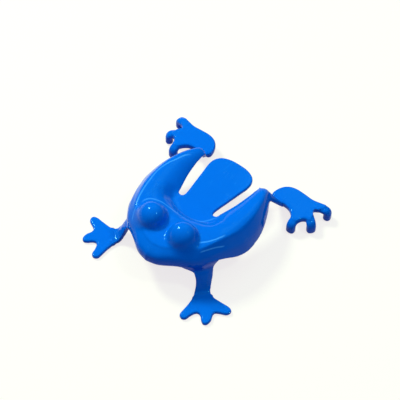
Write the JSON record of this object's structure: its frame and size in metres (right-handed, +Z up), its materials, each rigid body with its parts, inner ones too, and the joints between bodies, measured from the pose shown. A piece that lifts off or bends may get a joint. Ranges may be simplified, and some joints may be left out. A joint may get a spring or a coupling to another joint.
{
  "type": "jumping frog toy",
  "caption": "Small moulded plastic frog with webbed hands, arched feet and a springy tail paddle that is pressed down and released to make it hop.",
  "frame": {"origin": "On the floor plane, under the middle of the toy's bounding box.", "axes": "+Z up. The frog looks along -Y, its left side is +X, and the spring paddle points along +Y. The toy is mirror symmetric about X = 0."},
  "size_m": [0.0572, 0.0536, 0.0194],
  "materials": {
    "blue_plastic": "glossy moulded, solid blue"
  },
  "bodies": {
    "frog_body": {"head_and_back": "blue_plastic", "left_haunch": "blue_plastic", "right_haunch": "blue_plastic", "left_arm": "blue_plastic", "right_arm": "blue_plastic", "left_hand": "blue_plastic", "right_hand": "blue_plastic", "left_shank": "blue_plastic", "right_shank": "blue_plastic", "left_foot": "blue_plastic", "right_foot": "blue_plastic"},
    "paddle": {"spring_paddle": "blue_plastic"}
  },
  "joints": [
    {"name": "paddle_flex", "type": "hinge", "parent": "frog_body", "child": "paddle", "pos_m": [0, 0.001, 0.0104], "axis": [1, 0, 0], "range_deg": [-26, 4], "stiffness_Nm_per_rad": 0.05}
  ]
}
